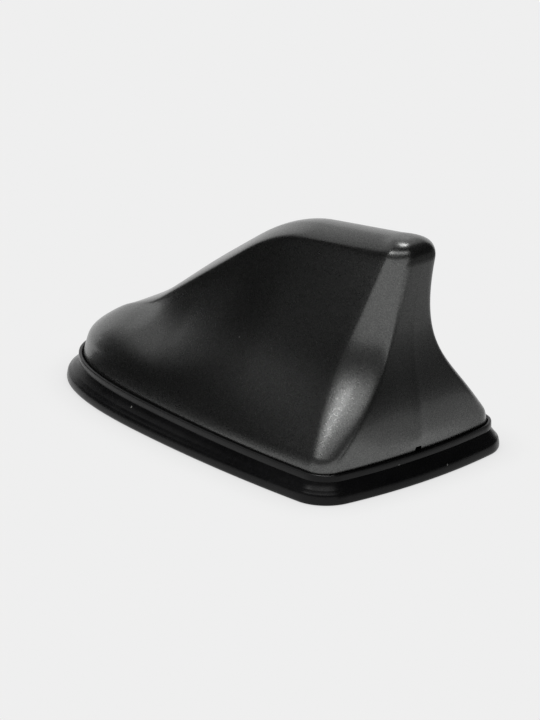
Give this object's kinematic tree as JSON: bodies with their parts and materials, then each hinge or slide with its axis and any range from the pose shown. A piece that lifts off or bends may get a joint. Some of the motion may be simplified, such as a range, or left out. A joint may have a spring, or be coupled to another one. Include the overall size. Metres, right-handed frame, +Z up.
{
  "type": "shark fin aerial",
  "caption": "Shark fin roof aerial for a car: a painted moulded fin over board, patch and coil elements, on a chassis with a flared rubber gasket and a cable outlet underneath.",
  "frame": {"origin": "middle of the footprint, on the plane of the roof", "axes": "+X to the rear of the car, +Z up from the roof, +Y to the right-hand rule side"},
  "size_m": [0.138, 0.0742, 0.0697],
  "materials": {
    "cover_paint": "satin metallic paint, dark gunmetal",
    "gasket_rubber": "matt",
    "chassis_plastic": "fine moulded grain",
    "tape_foam": "foam",
    "zinc_steel": "zinc plated",
    "insert_brass": "turned",
    "tinned_steel": "tinned",
    "board_resin": "solder mask",
    "chip_plastic": "moulded",
    "socket_gold": "gold plated",
    "patch_ceramic": "fired, matt",
    "silver_plate": "fired silver",
    "liner_tape": "matt",
    "natural_plastic": "moulded",
    "winding_copper": "enamelled"
  },
  "bodies": {
    "root": {"cover_shell": "cover_paint", "base_gasket": "gasket_rubber", "base_plate": "chassis_plastic", "adhesive_pad": "tape_foam", "cover_screws": "zinc_steel", "board_inserts": "insert_brass", "ground_plate": "tinned_steel", "main_board": "board_resin", "board_screws": "zinc_steel", "shield_can": "tinned_steel", "board_chips": "chip_plastic", "fm_socket": "socket_gold", "gnss_socket": "socket_gold", "gnss_patch": "patch_ceramic", "patch_electrode": "silver_plate", "patch_pin": "socket_gold", "patch_tape": "liner_tape", "coil_former": "natural_plastic", "helix_coil": "winding_copper", "coil_spring": "zinc_steel", "plate_carrier": "natural_plastic", "top_plate": "tinned_steel", "plate_screw": "zinc_steel", "cable_grommet": "gasket_rubber"}
  },
  "joints": []
}
